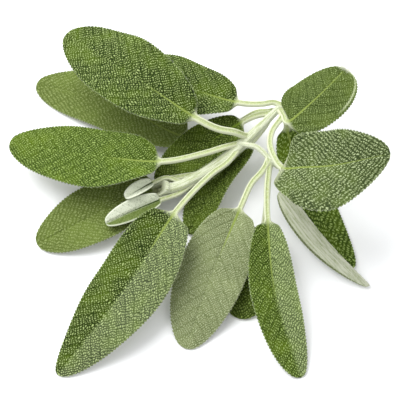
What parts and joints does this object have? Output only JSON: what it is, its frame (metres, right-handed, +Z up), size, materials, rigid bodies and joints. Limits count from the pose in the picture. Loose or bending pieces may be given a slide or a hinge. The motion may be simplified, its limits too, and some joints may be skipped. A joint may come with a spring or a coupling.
{
  "type": "sage sprig",
  "caption": "Cut sprig of common sage lying on a surface: a felted square stem with a thin side shoot and long-stalked, pebbled oval leaves spread round it.",
  "frame": {"origin": "middle of the sprig's footprint, at the height of the surface it lies on", "axes": "+Z up; +X to the right of the pictured view, roughly along the spread of the leaves; +Y away from the viewer"},
  "size_m": [0.136, 0.1332, 0.0444],
  "materials": {
    "stem_felt": "matte",
    "leaf_green": "matte",
    "leaf_grey_green": "matte",
    "leaf_pale_felt": "matte"
  },
  "bodies": {
    "root": {"main_stem": "stem_felt", "side_shoot": "stem_felt", "leaf_upper_left": "leaf_green", "leaf_behind_upper": "leaf_green", "leaf_mid_left": "leaf_green", "leaf_far_left": "leaf_green", "leaf_low_left": "leaf_green", "leaf_bottom_left": "leaf_green", "leaf_bottom_mid": "leaf_pale_felt", "leaf_bottom_right": "leaf_green", "leaf_underside": "leaf_pale_felt", "leaf_top_right": "leaf_grey_green", "leaf_right": "leaf_grey_green", "leaf_hidden_right": "leaf_green", "leaf_hidden_bottom": "leaf_green", "leaf_hidden_mid": "leaf_green", "leaf_hidden_upper": "leaf_green", "young_leaf": "leaf_pale_felt", "bud_leaf": "leaf_pale_felt"}
  },
  "joints": []
}
